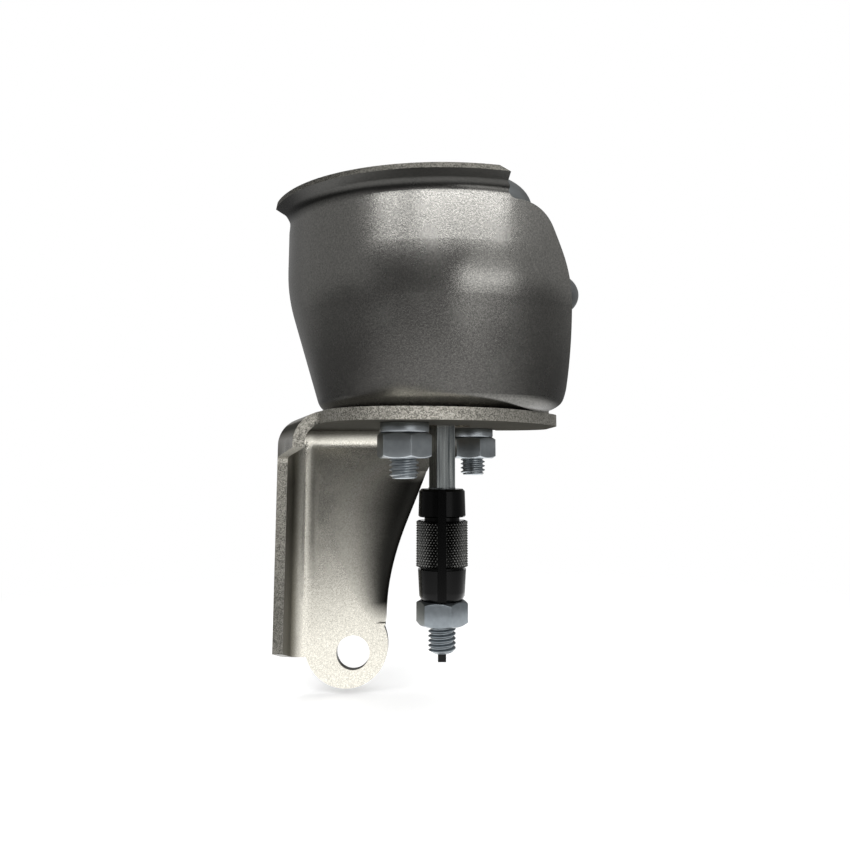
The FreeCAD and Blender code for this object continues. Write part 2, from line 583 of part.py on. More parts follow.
# ---- rod and piston ------------------------------------------------------------------------------
def actuatorRod():
    """Round in the bush, four flats below it, a journal and ring groove in the sleeve, a spigot on top."""
    top = CUP_FLOOR_Z + CUP_SHEET
    foot = SLEEVE_TOP_Z - ROD_IN_SLEEVE
    neck_high = SLEEVE_TOP_Z - NIB_DROP + NIB_HEIGHT / 2 + LOOSE
    neck_low = neck_high - NIB_HEIGHT - 2 * LOOSE
    stub = top + 1.2
    journal_top = SLEEVE_TOP_Z + LOOSE
    rod = turned([(0, foot), (M6_R - 0.4, foot), (M6_R, foot + 0.4), (M6_R, neck_low),
                  (NECK_GROOVE_R, neck_low), (NECK_GROOVE_R, neck_high), (M6_R, neck_high),
                  (M6_R, journal_top), (ROD_R, journal_top), (ROD_R, PISTON_FLOOR_Z),
                  (SPIGOT_R, PISTON_FLOOR_Z), (SPIGOT_R, stub), (0, stub)])
    half, low, high = ROD_FLATS / 2, journal_top, -SHEET + 1.0
    around = box((-9, 9), (-9, 9), (low, high)).cut(box((-half, half), (-half, half), (low - 1, high + 1)))
    around.rotate(CENTRE, Z, ROD_TWIST)
    return rod.cut(around)


def clampPlate():
    """Plate under the diaphragm, with a hub through it that carries the cup."""
    low, high = PISTON_FLOOR_Z, PISTON_FLOOR_Z + CLAMP_PLATE
    hub = CUP_FLOOR_Z
    return turned([(SPIGOT_R, low), (CLAMP_PLATE_R - 0.6, low), (CLAMP_PLATE_R, low + 0.6),
                   (CLAMP_PLATE_R, high), (CLAMP_HUB_R, high), (CLAMP_HUB_R, hub), (SPIGOT_R, hub)])


def pistonCup():
    low = CUP_FLOOR_Z
    outside = [(SPIGOT_R, low), (CUP_R, low), (CUP_R, low + CUP_HEIGHT)]
    return pressedSheet(outside, [CUP_BEND], CUP_SHEET, flat_outside=True, flat_inside=True)


def rodRivet():
    """Swaged head that holds cup, diaphragm and plate on the rod."""
    low = CUP_FLOOR_Z + CUP_SHEET
    return turned([(SPIGOT_R, low), (5.0, low), (5.0, low + 0.8), (3.4, low + 2.0), (0, low + 2.4),
                   (0, low + 1.2), (SPIGOT_R, low + 1.2)])


# ---- adjuster ------------------------------------------------------------------------------------
def sleeveSection():
    """Outline of the sleeve's outside, top to foot."""
    edge = 0.5
    z = SLEEVE_TOP_Z
    points = [(COLLAR_TOP_R - edge, z), (COLLAR_TOP_R, z - edge)]
    z -= COLLAR_HEIGHT
    points += [(COLLAR_R, z + edge / 2), (COLLAR_R - edge / 2, z), (GROOVE_R, z)]
    z -= GROOVE
    points += [(GROOVE_R, z), (KNURL_TOP_R - edge, z), (KNURL_TOP_R, z - edge)]
    z -= KNURL_HEIGHT
    points += [(KNURL_R, z + edge), (KNURL_R - edge, z), (LOWER_GROOVE_R, z)]
    z -= LOWER_GROOVE
    points += [(LOWER_GROOVE_R, z), (TAIL_R, z)]
    z -= TAIL_HEIGHT
    return points + [(TAIL_END_R, z + 2 * edge), (TAIL_END_R - edge, z)]


def adjusterSleeve():
    bore = M6_R + RUNNING
    outline = sleeveSection()
    sleeve = turned(outline + [(bore, SLEEVE_FOOT_Z), (bore, SLEEVE_TOP_Z)])
    half = SLOT_WIDTH / 2
    slot = box((-half, half), (-KNURL_R - 1, -SLOT_FLOOR_R), (SLEEVE_FOOT_Z - 1, SLEEVE_TOP_Z + 1))
    middle = SLEEVE_TOP_Z - NIB_DROP
    window = box((-half, half), (-SLOT_FLOOR_R - 1, -bore + 0.3),
                 (middle - NIB_HEIGHT / 2 - STRIP_PLAY, middle + NIB_HEIGHT / 2 + STRIP_PLAY))
    return sleeve.cut(slot).cut(window)


def lockingStrip():
    """Spring strip in the sleeve's slot, whose nib runs in the rod's ring groove."""
    half = SLOT_WIDTH / 2 - STRIP_PLAY
    near = -SLOT_FLOOR_R
    far = near - STRIP_THICK
    middle = SLEEVE_TOP_Z - NIB_DROP
    strip = box((-half, half), (far, near), (SLEEVE_FOOT_Z + LOOSE, SLEEVE_TOP_Z - LOOSE))
    nib = box((-half, half), (near - STRIP_THICK / 2, -NECK_GROOVE_R - 0.35),
              (middle - NIB_HEIGHT / 2, middle + NIB_HEIGHT / 2))
    rib = box((-half / 4, half / 4), (far - 0.2, far), (SLEEVE_FOOT_Z + LOOSE, SLEEVE_TOP_Z - LOOSE))
    return fuse([strip, nib, rib])


def lockNut():
    return hexNut(M6_NUT_FLATS, M6_NUT_HEIGHT, M6_R + RUNNING, LOCK_NUT_FOOT_Z, LOCK_NUT_TURN)


def endStud():
    """Threaded end that screws into the sleeve, with a bored point."""
    top = SLEEVE_FOOT_Z + STUD_IN_SLEEVE
    foot = LOCK_NUT_FOOT_Z - END_STUD_REACH
    point_r, point = END_STUD_POINT
    groove_r, groove = RUNOUT
    stud = turned([(0, foot), (point_r, foot), (M6_R, foot + point), (M6_R, LOCK_NUT_FOOT_Z - groove),
                   (groove_r, LOCK_NUT_FOOT_Z - groove), (groove_r, LOCK_NUT_FOOT_Z), (M6_R, LOCK_NUT_FOOT_Z),
                   (M6_R, top - 0.6), (M6_R - 0.6, top), (0, top)])
    half = TIP_SIDE / 2
    return stud.cut(box((-half, half), (-half, half), (foot - 1, foot + TIP_DEPTH)))


def tipPin():
    """Square key pressed into the stud's end."""
    foot = LOCK_NUT_FOOT_Z - END_STUD_REACH
    half = TIP_SIDE / 2
    return box((-half, half), (-half, half), (foot - TIP_REACH, foot + TIP_DEPTH))


PIECES = {
    "bracket": bracket,
    "heat_shield": heatShield,
    "lower_can": lowerCan,
    "upper_can": upperCan,
    "vacuum_nipple": vacuumNipple,
    "mounting_studs": mountingStuds,
    "stud_lock_washers": studWashers,
    "stud_nuts": studNuts,
    "guide_bush": guideBush,
    "rod_wiper": rodWiper,
    "stop_ring": stopRing,
    "diaphragm": diaphragm,
    "return_spring": returnSpring,
    "spring_seat": upperSpringSeat,
    "actuator_rod": actuatorRod,
    "clamp_plate": clampPlate,
    "piston_cup": pistonCup,
    "rod_rivet": rodRivet,
    "adjuster_sleeve": adjusterSleeve,
    "locking_strip": lockingStrip,
    "lock_nut": lockNut,
    "end_stud": endStud,
    "tip_pin": tipPin,
}

os.makedirs("parts", exist_ok=True)
for name, make in PIECES.items():
    made = make()
    solids = made if isinstance(made, list) else made.Solids
    exportPiece(name, solids)
    low = min(s.BoundBox.ZMin for s in solids)
    high = max(s.BoundBox.ZMax for s in solids)
    print(name, len(solids), "solid(s)", "valid" if all(s.isValid() for s in solids) else "INVALID",
          "%.0f mm3" % sum(s.Volume for s in solids), "z %.1f to %.1f" % (low, high))
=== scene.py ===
import math
import json
import bpy
import bmesh
from mathutils import Vector, Matrix


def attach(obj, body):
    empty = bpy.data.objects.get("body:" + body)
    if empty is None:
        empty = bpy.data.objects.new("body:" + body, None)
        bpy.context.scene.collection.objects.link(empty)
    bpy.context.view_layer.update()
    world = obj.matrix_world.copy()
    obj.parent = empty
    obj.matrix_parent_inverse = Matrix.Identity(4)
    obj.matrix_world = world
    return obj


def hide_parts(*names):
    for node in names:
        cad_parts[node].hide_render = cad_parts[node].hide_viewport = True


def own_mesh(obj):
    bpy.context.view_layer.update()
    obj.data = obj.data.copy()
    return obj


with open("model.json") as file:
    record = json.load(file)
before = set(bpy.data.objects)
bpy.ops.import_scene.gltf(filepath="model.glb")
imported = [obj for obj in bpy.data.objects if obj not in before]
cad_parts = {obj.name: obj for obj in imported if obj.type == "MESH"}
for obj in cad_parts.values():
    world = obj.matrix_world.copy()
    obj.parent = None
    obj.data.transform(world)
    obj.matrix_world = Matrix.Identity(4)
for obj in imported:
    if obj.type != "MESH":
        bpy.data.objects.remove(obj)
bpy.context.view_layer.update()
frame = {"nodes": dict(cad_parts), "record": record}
cadNodes = frame["nodes"]

# millimetres about the rod's axis, z 0 on the plate's upper face, to metres in the row frame
rodX, rodY, plateZ = 22.4, -31.3, 58.1
weld = 0.000001    # points this close, in metres, are one


def place(x, y, z):
    return Vector(((x + rodX) / 1000, (y + rodY) / 1000, (z + plateZ) / 1000))


# camera, tipped up a little from below the plate: lens, sensor and spot in millimetres, tip in degrees
cameraLook = {"lens": 34.53, "sensor": 36, "shift": (-0.02, -0.096), "spot": (0, -185, -9.6), "tip": 98}
cameraData = bpy.data.cameras.new("camera")
cameraData.lens = cameraLook["lens"]
cameraData.sensor_width = cameraLook["sensor"]
cameraData.shift_x, cameraData.shift_y = cameraLook["shift"]
cameraData.clip_start = 0.01
camera = bpy.data.objects.new("camera", cameraData)
camera.location = place(*cameraLook["spot"])
camera.rotation_euler = (math.radians(cameraLook["tip"]), 0, 0)
bpy.context.scene.collection.objects.link(camera)
bpy.context.scene.camera = camera


white, black = (1, 1, 1, 1), (0, 0, 0, 1)


def srgb(code):
    parts = [int(code[i:i + 2], 16) / 255 for i in (1, 3, 5)]
    return [p / 12.92 if p <= 0.04045 else ((p + 0.055) / 1.055) ** 2.4 for p in parts] + [1]


def addNode(tree, kind, inputs=None, **settings):
    node = tree.nodes.new(kind)
    for name, value in settings.items():
        setattr(node, name, value)
    for name, value in (inputs or {}).items():
        if isinstance(value, bpy.types.NodeSocket):
            tree.links.new(value, node.inputs[name])
        else:
            node.inputs[name].default_value = value
    return node


def deselectAll():
    if bpy.context.object and bpy.context.object.mode == "EDIT":
        bpy.ops.object.mode_set(mode="OBJECT")
    for thing in bpy.context.selected_objects:
        thing.select_set(False)


def edit(piece):
    deselectAll()
    bpy.context.view_layer.objects.active = piece
    piece.select_set(True)
    bpy.ops.object.mode_set(mode="EDIT")
    bpy.ops.mesh.select_all(action="DESELECT")


def selectWhere(piece, kind, test):
    # kind is verts, edges or faces
    bpy.ops.mesh.select_mode(type={"verts": "VERT", "edges": "EDGE", "faces": "FACE"}[kind])
    bpy.ops.mesh.select_all(action="DESELECT")
    mesh = bmesh.from_edit_mesh(piece.data)
    for item in getattr(mesh, kind):
        item.select = test(item)
    mesh.select_flush_mode()
    bmesh.update_edit_mesh(piece.data)


def leaveEdit():
    bpy.ops.object.mode_set(mode="OBJECT")


def applyModifiers(piece):
    deselectAll()
    bpy.context.view_layer.objects.active = piece
    piece.select_set(True)
    for modifier in list(piece.modifiers):
        bpy.ops.object.modifier_apply(modifier=modifier.name)


def copyNode(node, name):
    # an editable copy of a CAD node, its loose triangles merged
    piece = cadNodes[node].copy()
    piece.data = cadNodes[node].data.copy()
    piece.name = piece.data.name = name
    piece.parent = None
    piece.matrix_world = Matrix()
    bpy.context.scene.collection.objects.link(piece)
    edit(piece)
    bpy.ops.mesh.customdata_custom_splitnormals_clear()
    bpy.ops.mesh.select_all(action="SELECT")
    bpy.ops.mesh.remove_doubles(threshold=weld)
    leaveEdit()
    return piece


def joinPieces(pieces, name):
    deselectAll()
    for piece in pieces:
        piece.select_set(True)
    bpy.context.view_layer.objects.active = pieces[0]
    bpy.ops.object.join()
    pieces[0].name = pieces[0].data.name = name
    return pieces[0]


def bakePlace(piece):
    deselectAll()
    bpy.context.view_layer.objects.active = piece
    piece.select_set(True)
    bpy.ops.object.transform_apply(location=True, rotation=True, scale=True)


def smoothByAngle(piece, degrees):
    deselectAll()
    bpy.context.view_layer.objects.active = piece
    piece.select_set(True)
    bpy.ops.object.shade_smooth_by_angle(angle=math.radians(degrees))


def metal(name):
    made = bpy.data.materials.new(name)
    made.use_nodes = True
    tree = made.node_tree
    shader = tree.nodes["Principled BSDF"]
    shader.inputs["Metallic"].default_value = 1
    where = addNode(tree, "ShaderNodeTexCoord").outputs["Object"]
    return made, tree, shader, where


def inMillimetres(tree, where):
    # where on the part, in the millimetres that place takes
    moved = addNode(tree, "ShaderNodeVectorMath", {0: where, 1: place(0, 0, 0)}, operation="SUBTRACT")
    grown = addNode(tree, "ShaderNodeVectorMath", {0: moved.outputs[0], "Scale": 1000}, operation="SCALE")
    return grown.outputs[0]


def perMetre(millimetres):
    return 1000 / millimetres    # texture scale for a grain of this size


noiseSpan = {"From Min": 0.3, "From Max": 0.7}    # nearly all of a noise lies between these


def twoTone(tree, noise, look):
    tint = addNode(tree, "ShaderNodeMapRange", {"Value": noise.outputs["Fac"], **noiseSpan})
    color = addNode(tree, "ShaderNodeMix", {0: tint.outputs[0], 6: srgb(look["dark"]),
                                            7: srgb(look["light"])}, data_type="RGBA")
    return color.outputs[2]


def paintedShadeByHeight(tree, color, height, look):
    # the colour fades toward a painted shade: by what share, and from which height to which
    for share, clear, full in look["paintedShadeBands"]:
        fade = addNode(tree, "ShaderNodeMapRange", {"Value": height, "From Min": clear, "From Max": full,
                                                    "To Max": share})
        shadedColor = addNode(tree, "ShaderNodeMix", {0: fade.outputs[0], 6: color, 7: srgb(look["paintedShadeColor"])},
                         data_type="RGBA")
        color = shadedColor.outputs[2]
    return color


def patchyGloss(tree, where, look, detail):
    # roughness drifts between two values over patches
    patch = addNode(tree, "ShaderNodeTexNoise", {"Vector": where, "Scale": perMetre(look["patch"]),
                                                 "Detail": detail})
    gloss = addNode(tree, "ShaderNodeMapRange", {"Value": patch.outputs["Fac"], **noiseSpan,
                                                 "To Min": look["rough"][0], "To Max": look["rough"][1]})
    return gloss.outputs[0]


# aluminised deep-drawn steel: satin grey with a fine sparkle from the coating's grain
# its flared rim and its foot are darkened toward a painted shade, unlike the drawn wall
shieldLook = {"dark": "#6b6b68", "light": "#92908c", "grain": 0.34, "patch": 9.0, "rough": (0.22, 0.29),
              "bump": 0.46, "relief": 0.04, "paintedShadeColor": "#222221",
              "paintedShadeBands": ((0.85, 40.6, 42.4), (0.55, 18, 1))}
aluminised, tree, shader, where = metal("aluminisedSteel")
grain = addNode(tree, "ShaderNodeTexNoise", {"Vector": where, "Scale": perMetre(shieldLook["grain"]),
                                             "Detail": 3, "Roughness": 0.7})
height = addNode(tree, "ShaderNodeSeparateXYZ", {0: inMillimetres(tree, where)}).outputs["Z"]
# painted shade by height over the flared rim and the foot
color = paintedShadeByHeight(tree, twoTone(tree, grain, shieldLook), height, shieldLook)
tree.links.new(color, shader.inputs["Base Color"])
tree.links.new(patchyGloss(tree, where, shieldLook, 4), shader.inputs["Roughness"])
bump = addNode(tree, "ShaderNodeBump", {"Height": grain.outputs["Fac"], "Strength": shieldLook["bump"],
                                        "Distance": shieldLook["relief"] / 1000})
tree.links.new(bump.outputs[0], shader.inputs["Normal"])

# cold-rolled steel strip, pressed: satin with a fine orange peel, with painted shade along the leg's edge, in
# its bends and under its plate
bracketLook = {"dark": "#a3a097", "light": "#cfccc2", "grain": 0.3, "patch": 7.0, "rough": (0.22, 0.28),
               "bump": 0.3, "relief": 0.04, "paintedShadeColor": "#151514", "dullRough": 0.34}
stripSteel, tree, shader, where = metal("pressedStripSteel")
grain = addNode(tree, "ShaderNodeTexNoise", {"Vector": where, "Scale": perMetre(bracketLook["grain"]),
                                             "Detail": 3, "Roughness": 0.65})
color = twoTone(tree, grain, bracketLook)
spot = addNode(tree, "ShaderNodeSeparateXYZ", {0: inMillimetres(tree, where)})

# the leg's free edge, x and z from the ear up to the plate, is turned back and gets a painted shade
# how far in the painted shade reaches at two heights, between which shares of that it fades, and how dark it
# is
legEdge = {"outline": ((-14.3, -51.5), (-13.0, -38.0), (-10.1, -28.4), (-6.2, -18.7), (-1.2, -8.0),
                       (8.0, -1.0)),
           "reachAt": (-50, -22), "reach": (4.5, 21), "share": (0.12, 1.2), "paintedShade": 0.98}
(leftX, footZ), (rightX, topZ) = legEdge["outline"][0], legEdge["outline"][-1]
climb = addNode(tree, "ShaderNodeMapRange", {"Value": spot.outputs["Z"], "From Min": footZ, "From Max": topZ})
edgeCurve = addNode(tree, "ShaderNodeFloatCurve", {"Value": climb.outputs[0]})
for x, z in legEdge["outline"][1:-1]:
    edgeCurve.mapping.curves[0].points.new((z - footZ) / (topZ - footZ), (x - leftX) / (rightX - leftX))
edgeCurve.mapping.update()
edgeX = addNode(tree, "ShaderNodeMath", {0: edgeCurve.outputs[0], 1: rightX - leftX, 2: leftX},
                operation="MULTIPLY_ADD")
inset = addNode(tree, "ShaderNodeMath", {0: edgeX.outputs[0], 1: spot.outputs["X"]}, operation="SUBTRACT")
reach = addNode(tree, "ShaderNodeMapRange", {"Value": spot.outputs["Z"],
                "From Min": legEdge["reachAt"][0], "From Max": legEdge["reachAt"][1],
                "To Min": legEdge["reach"][0], "To Max": legEdge["reach"][1]})
share = addNode(tree, "ShaderNodeMath", {0: inset.outputs[0], 1: reach.outputs[0]}, operation="DIVIDE")
turnedEdgeShade = addNode(tree, "ShaderNodeMapRange", {"Value": share.outputs[0],
                     "From Min": legEdge["share"][0], "From Max": legEdge["share"][1],
                     "To Min": legEdge["paintedShade"], "To Max": 0}, interpolation_type="SMOOTHSTEP")

# painted shade: how dark it is, and the ramps that bound it, each clear to full on one axis
paintedShadeZones = (
    (turnedEdgeShade.outputs[0], (("Y", 26.5, 28.2), ("Y", 35.7, 35.3), ("Z", -4, -16), ("Z", -51, -46))),
    (0.85, (("X", -35, -38.8), ("Z", -4, -16))),    # inside the bend beside the flange
    # the line where that bend runs into the leg, fading toward the ear
    (0.58, (("X", -35, -33.5), ("X", -31.6, -33.1), ("Z", -41, -30), ("Z", -4, -16))),
    (0.8, (("Z", -5.6, -3.4), ("Z", -1.5, -2.2))),    # the plate's underside, down to the start of its bends
)
paintedShade = 0
for level, ramps in paintedShadeZones:
    for axis, clear, full in ramps:
        ramp = addNode(tree, "ShaderNodeMapRange", {"Value": spot.outputs[axis], "From Min": clear,
                                                    "From Max": full})
        bounded = addNode(tree, "ShaderNodeMath", {0: level, 1: ramp.outputs[0]}, operation="MULTIPLY")
        level = bounded.outputs[0]
    paintedShade = addNode(tree, "ShaderNodeMath", {0: paintedShade, 1: level}, operation="MAXIMUM").outputs[0]
# painted shade: the colour goes darker, the specular tint goes to black and the gloss rougher
color = addNode(tree, "ShaderNodeMix", {0: paintedShade, 6: color, 7: srgb(bracketLook["paintedShadeColor"])},
                data_type="RGBA")
shadedSpecularTint = addNode(tree, "ShaderNodeMix", {0: paintedShade, 6: white, 7: black}, data_type="RGBA")
gloss = addNode(tree, "ShaderNodeMath", {0: paintedShade, 1: bracketLook["dullRough"],
                2: patchyGloss(tree, where, bracketLook, 2)}, operation="MULTIPLY_ADD")
tree.links.new(color.outputs[2], shader.inputs["Base Color"])
tree.links.new(shadedSpecularTint.outputs[2], shader.inputs["Specular Tint"])
tree.links.new(gloss.outputs[0], shader.inputs["Roughness"])
bump = addNode(tree, "ShaderNodeBump", {"Height": grain.outputs["Fac"], "Strength": bracketLook["bump"],
                                        "Distance": bracketLook["relief"] / 1000})
tree.links.new(bump.outputs[0], shader.inputs["Normal"])

# sheared edge of the same sheets: torn grain with bright facets and dark pits
# a painted shade darkens it on the shield's rim and the flange's foot, not on the plate's edge
edgeLook = {"dark": "#605e58", "light": "#b4b1a8", "grain": 0.22, "rough": 0.5, "bump": 0.8, "relief": 0.06,
            "paintedShadeColor": "#242422", "paintedShadeBands": ((0.6, -8, -45), (0.65, 0, 10))}
shearedEdge, tree, shader, where = metal("shearedEdge")
grain = addNode(tree, "ShaderNodeTexVoronoi", {"Vector": where, "Scale": perMetre(edgeLook["grain"])})
speck = addNode(tree, "ShaderNodeSeparateColor", {"Color": grain.outputs["Color"]})
color = addNode(tree, "ShaderNodeMix", {0: speck.outputs[0], 6: srgb(edgeLook["dark"]),
                                        7: srgb(edgeLook["light"])}, data_type="RGBA")
height = addNode(tree, "ShaderNodeSeparateXYZ", {0: inMillimetres(tree, where)}).outputs["Z"]
# painted shade by height on the shield's rim and the flange's foot
tree.links.new(paintedShadeByHeight(tree, color.outputs[2], height, edgeLook), shader.inputs["Base Color"])
shader.inputs["Roughness"].default_value = edgeLook["rough"]
bump = addNode(tree, "ShaderNodeBump", {"Height": speck.outputs[1], "Strength": edgeLook["bump"],
                                        "Distance": edgeLook["relief"] / 1000})
tree.links.new(bump.outputs[0], shader.inputs["Normal"])


# zinc plate on small hardware: even bluish grey, a little mottled
def plated(name, dark, light, grainSize, rough):
    made, tree, shader, where = metal(name)
    cloud = addNode(tree, "ShaderNodeTexNoise", {"Vector": where, "Scale": perMetre(grainSize), "Detail": 4})
    color = addNode(tree, "ShaderNodeMix", {0: cloud.outputs["Fac"], 6: srgb(dark), 7: srgb(light)},
                    data_type="RGBA")
    tree.links.new(color.outputs[2], shader.inputs["Base Color"])
    shader.inputs["Roughness"].default_value = rough
    return made


# cold-drawn rod: streaks along its length
rodLook = {"dark": "#414546", "light": "#868988", "streak": 0.35, "length": 14.0, "rough": 0.27}
drawnSteel, tree, shader, where = metal("drawnSteel")
along = addNode(tree, "ShaderNodeMapping", {"Vector": where, "Scale": (perMetre(rodLook["streak"]),
                perMetre(rodLook["streak"]), perMetre(rodLook["length"]))})
streak = addNode(tree, "ShaderNodeTexNoise", {"Vector": along.outputs[0], "Scale": 1.0, "Detail": 2})
tree.links.new(twoTone(tree, streak, rodLook), shader.inputs["Base Color"])
shader.inputs["Roughness"].default_value = rodLook["rough"]

# black oxide on steel: dark with a soft sheen, with a painted highlight lightening it between two radii on
# the knurl's points
blackLook = {"color": "#1b1b1b", "paintedHighlight": "#535351", "highlightRadii": (5.42, 5.7), "rough": 0.24}
blackOxide, tree, shader, where = metal("blackOxide")
outward = addNode(tree, "ShaderNodeVectorMath", {0: inMillimetres(tree, where), 1: (1, 1, 0)},
                  operation="MULTIPLY")
radius = addNode(tree, "ShaderNodeVectorMath", {0: outward.outputs[0]}, operation="LENGTH")
paintedHighlight = addNode(tree, "ShaderNodeMapRange", {"Value": radius.outputs["Value"],
                 "From Min": blackLook["highlightRadii"][0], "From Max": blackLook["highlightRadii"][1]})
# painted highlight on the knurl's points
color = addNode(tree, "ShaderNodeMix", {0: paintedHighlight.outputs[0], 6: srgb(blackLook["color"]),
                                        7: srgb(blackLook["paintedHighlight"])}, data_type="RGBA")
tree.links.new(color.outputs[2], shader.inputs["Base Color"])
shader.inputs["Roughness"].default_value = blackLook["rough"]


# one even colour: sintered bronze, moulded rubber and oiled spring wire, all inside the canister
def plain(name, color, rough, metallic=0):
    made = bpy.data.materials.new(name)
    made.use_nodes = True
    shader = made.node_tree.nodes["Principled BSDF"]
    shader.inputs["Base Color"].default_value = srgb(color)
    shader.inputs["Roughness"].default_value = rough
    shader.inputs["Metallic"].default_value = metallic
    return made


endZinc = plated("zincPlatedEnd", "#676d71", "#83898d", 1.2, 0.36)    # a darker batch on the adjuster
finishes = {
    "bracket_steel": stripSteel,
    "shield_steel": aluminised,
    "can_steel": plated("zincPlatedCan", "#717577", "#878b8c", 6.0, 0.3),
    "plated_steel": plated("zincPlatedHardware", "#8a9094", "#a6abae", 1.2, 0.36),
    "bush_bronze": plain("sinteredBronze", "#9b7a45", 0.45, 1),
    "seal_rubber": plain("sealRubber", "#141414", 0.7),
    "spring_steel": plain("oiledSpringSteel", "#5a5a5c", 0.35, 1),
    "rod_steel": drawnSteel,
    "black_steel": blackOxide,
}
for part in frame["record"]["subparts"]:
    node = cadNodes[part["node"]]
    node.data.materials.clear()
    node.data.materials.append(finishes[part["material_slot"]])


# how much metal behind a face makes it a cut edge, the box round the leg's turned-back edge in x, y and z,
# and the height above which the shield flares and the radius beyond which that flare is cut
cutLook = {"strip": 2.75, "shield": 1.25, "turnedEdge": ((-16, 9), (27, 35.5), (-50, -4)), "flare": 40,
           "rim": 38.1, "justUnder": 0.02}


def shearEdges(node, sheet, known):
    # a face is a cut edge where known says so, or else where more metal than the sheet lies behind it
    piece = cadNodes[node]
    piece.data.materials.append(shearedEdge)
    for face in piece.data.polygons:
        x, y, z = (face.center - place(0, 0, 0)) * 1000
        cut = known(x, y, z)
        if cut is None:
            inward = -face.normal
            hit, spot = piece.ray_cast(face.center + inward * cutLook["justUnder"] / 1000, inward)[:2]
            cut = hit and (spot - face.center).length > sheet / 1000
        face.material_index = 1 if cut else 0


def bracketCut(x, y, z):
    # the turned-back edge has metal behind it too, but is bent and not cut
    inBox = all(low < value < high for value, (low, high) in zip((x, y, z), cutLook["turnedEdge"]))
    return False if inBox else None


def shieldCut(x, y, z):
    return math.hypot(x, y) > cutLook["rim"] if z > cutLook["flare"] else None


shearEdges("bracket", cutLook["strip"], bracketCut)
shearEdges("heat_shield", cutLook["shield"], shieldCut)
print("finishes made")

# real threads on the studs and the adjuster's end, in millimetres, with the steps in a turn
# the bar that cuts them to length has this many sides and clears the crest by so much
threadShape = {"pitch": 1.0, "crest": 3.0, "root": 2.42, "crestFlat": 0.16, "rootFlat": 0.22, "steps": 40,
               "sides": 48, "clears": 0.02, "smooth": 25}


def threadBar(name, low, high, chamfer, at):
    # a helical ridge swept from one pitch of profile, then cut by a chamfered bar
    shape = threadShape
    flank = (shape["pitch"] - shape["crestFlat"] - shape["rootFlat"]) / 2
    outer = shape["crest"] + shape["clears"]
    start = math.floor(low) - 2    # a whole number, so that every thread starts alike
    deselectAll()
    bpy.ops.mesh.primitive_plane_add(size=0.001, location=(0, 0, 0))
    piece = bpy.context.object
    piece.name = name
    edit(piece)
    bpy.ops.mesh.select_all(action="SELECT")
    bpy.ops.mesh.merge(type="CENTER")
    bpy.ops.transform.translate(value=(shape["root"] / 1000, 0, start / 1000))
    for right, up in ((0, shape["rootFlat"] / 2), (shape["crest"] - shape["root"], flank),
                      (0, shape["crestFlat"]), (shape["root"] - shape["crest"], flank),
                      (0, shape["rootFlat"] / 2)):
        bpy.ops.mesh.extrude_vertices_move(TRANSFORM_OT_translate={"value": (right / 1000, 0, up / 1000)})
    leaveEdit()
    screw = piece.modifiers.new("screw", "SCREW")
    screw.axis = "Z"
    screw.screw_offset = shape["pitch"] / 1000
    screw.iterations = math.ceil(high - start) + 1
    screw.steps = screw.render_steps = shape["steps"]
    screw.use_merge_vertices = True
    screw.merge_threshold = weld
    applyModifiers(piece)
    edit(piece)
    bpy.ops.mesh.select_all(action="SELECT")
    bpy.ops.mesh.remove_doubles(threshold=2 * weld)
    bpy.ops.mesh.select_mode(type="EDGE")
    bpy.ops.mesh.select_all(action="DESELECT")
    bpy.ops.mesh.select_non_manifold(extend=False, use_wire=False, use_boundary=True, use_multi_face=False,
                                     use_non_contiguous=False, use_verts=False)
    bpy.ops.mesh.edge_face_add()
    bpy.ops.mesh.select_all(action="SELECT")
    bpy.ops.mesh.quads_convert_to_tris()
    bpy.ops.mesh.normals_make_consistent(inside=False)
    leaveEdit()
    deselectAll()
    bpy.ops.mesh.primitive_cylinder_add(vertices=shape["sides"], radius=outer / 1000,
                                        depth=(high - low) / 1000, location=(0, 0, (high + low) / 2000))
    bar = bpy.context.object
    bakePlace(bar)
    edit(bar)
    radius, depth = chamfer
    selectWhere(bar, "faces", lambda f: f.normal.z < -0.9)
    bpy.ops.mesh.inset(thickness=(outer - radius) / 1000, depth=0)
    # the end's outer ring is raised, which leaves a chamfer
    selectWhere(bar, "verts", lambda v: v.co.z < low / 1000 + weld
                and math.hypot(v.co.x, v.co.y) > (radius + 0.1) / 1000)
    bpy.ops.transform.translate(value=(0, 0, depth / 1000))
    leaveEdit()
    cut = piece.modifiers.new("ends", "BOOLEAN")
    cut.operation = "INTERSECT"
    cut.solver = "EXACT"
    cut.object = bar
    applyModifiers(piece)
    bpy.data.objects.remove(bar)
    piece.location = place(at.x, at.y, 0)
    bakePlace(piece)
    smoothByAngle(piece, shape["smooth"])
    return piece


def trimBelow(piece, height):
    # removes what lies below a height about the plate
    edit(piece)
    bpy.ops.mesh.select_all(action="SELECT")
    bpy.ops.mesh.bisect(plane_co=place(0, 0, height), plane_no=(0, 0, 1), use_fill=True, clear_inner=True)
    leaveEdit()


# below its joint each shank is cut away, and a thread stands there that overlaps it a little
studLook = {"circle": 20.6, "angle": 68.3, "foot": -13.7, "joint": -8.6, "chamfer": (2.3, 0.6),
            "overlap": 0.2, "smooth": 28}
studReach = Vector((math.cos(math.radians(studLook["angle"])), math.sin(math.radians(studLook["angle"])), 0))
studs = copyNode("mounting_studs", "studShanks")
trimBelow(studs, studLook["joint"])
threads = [threadBar("studThread", studLook["foot"], studLook["joint"] + studLook["overlap"],
                     studLook["chamfer"], studReach * studLook["circle"] * side) for side in (-1, 1)]
studs = joinPieces([studs] + threads, "mountingStuds")
smoothByAngle(studs, studLook["smooth"])
studs.data.materials.clear()
studs.data.materials.append(finishes["plated_steel"])
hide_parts("mounting_studs")
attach(studs, "canister")

